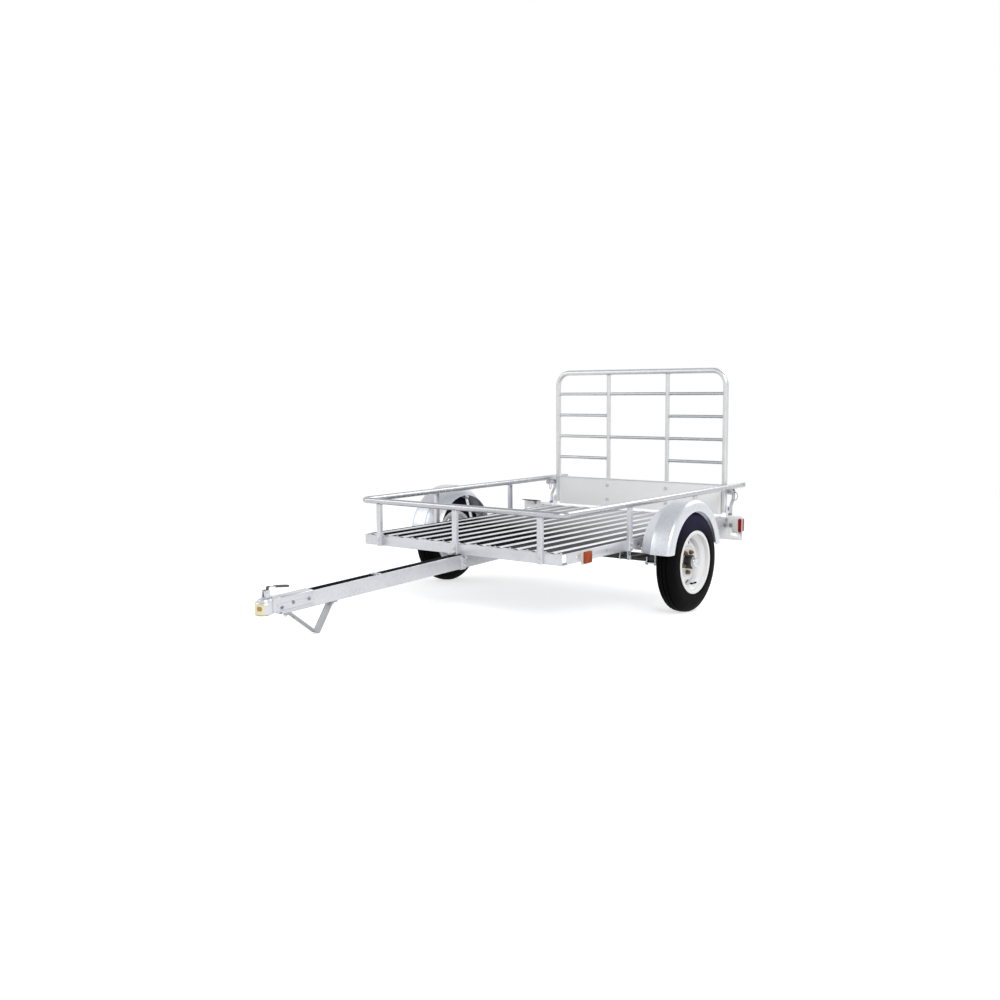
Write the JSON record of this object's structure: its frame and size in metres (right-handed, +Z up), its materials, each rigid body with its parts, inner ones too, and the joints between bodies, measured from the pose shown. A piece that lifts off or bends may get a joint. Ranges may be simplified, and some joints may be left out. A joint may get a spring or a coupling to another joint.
{
  "type": "utility trailer",
  "caption": "Single-axle galvanised utility trailer with a ribbed steel bed, tube side rails, arched fenders, a fold-down tube gate and a ball coupler.",
  "frame": {"origin": "on the ground, at the middle of the bounding box of the parked trailer, halfway between the two tyres", "axes": "+X forward towards the coupler, +Y to the trailer's left, +Z up; the frame is parked nose down on its fixed tongue stand"},
  "size_m": [3.2646, 1.774, 1.3642],
  "materials": {
    "galvanised_steel": "hot-dip galvanised, satin",
    "galvanised_sheet": "bright galvanised sheet",
    "bright_zinc": "bright zinc plated",
    "yellow_zinc": "yellow passivated zinc",
    "black_steel": "semi-gloss black paint",
    "black_hub": "satin black paint",
    "white_rim": "gloss white paint",
    "tyre_rubber": "new black rubber",
    "red_lens": "moulded lens",
    "amber_lens": "moulded lens"
  },
  "bodies": {
    "chassis": {"tongue": "galvanised_steel", "tongue_saddle": "galvanised_steel", "coupler_body": "bright_zinc", "coupler_clamp": "yellow_zinc", "coupler_latch": "bright_zinc", "tongue_stand": "galvanised_steel", "front_beam": "galvanised_steel", "rear_beam": "galvanised_steel", "left_side_beam": "galvanised_steel", "right_side_beam": "galvanised_steel", "cross_members": "galvanised_steel", "floor_panels": "galvanised_sheet", "front_rail": "galvanised_steel", "left_rail": "galvanised_steel", "right_rail": "galvanised_steel", "front_posts": "galvanised_steel", "left_posts": "galvanised_steel", "right_posts": "galvanised_steel", "rear_stays": "galvanised_steel", "left_rear_bracket": "galvanised_steel", "right_rear_bracket": "galvanised_steel", "number_plate_bracket": "galvanised_steel", "tail_lamps": "red_lens", "side_markers": "amber_lens", "left_fender": "galvanised_sheet", "right_fender": "galvanised_sheet", "fender_brackets": "galvanised_steel", "fender_stays": "galvanised_steel", "axle": "black_steel", "leaf_springs": "black_steel", "spring_hangers": "black_steel", "axle_clamps": "bright_zinc", "gate_latches": "yellow_zinc"},
    "left_wheel": {"left_hub": "black_hub", "left_rim": "white_rim", "left_tyre": "tyre_rubber"},
    "right_wheel": {"right_hub": "black_hub", "right_rim": "white_rim", "right_tyre": "tyre_rubber"},
    "tailgate": {"gate_hoop": "galvanised_steel", "gate_uprights": "galvanised_steel", "gate_rungs": "galvanised_steel", "gate_panel": "galvanised_sheet"}
  },
  "joints": [
    {"name": "left_wheel_spin", "type": "hinge", "parent": "chassis", "child": "left_wheel", "pos_m": [-0.5719, 0.827, 0.268], "axis": [0, 1, 0], "continuous": true},
    {"name": "right_wheel_spin", "type": "hinge", "parent": "chassis", "child": "right_wheel", "pos_m": [-0.5719, -0.827, 0.268], "axis": [0, 1, 0], "continuous": true},
    {"name": "tailgate_fold", "type": "hinge", "parent": "chassis", "child": "tailgate", "pos_m": [-1.46019, 0, 0.51193], "axis": [0, -1, 0], "range_deg": [0, 129]}
  ]
}
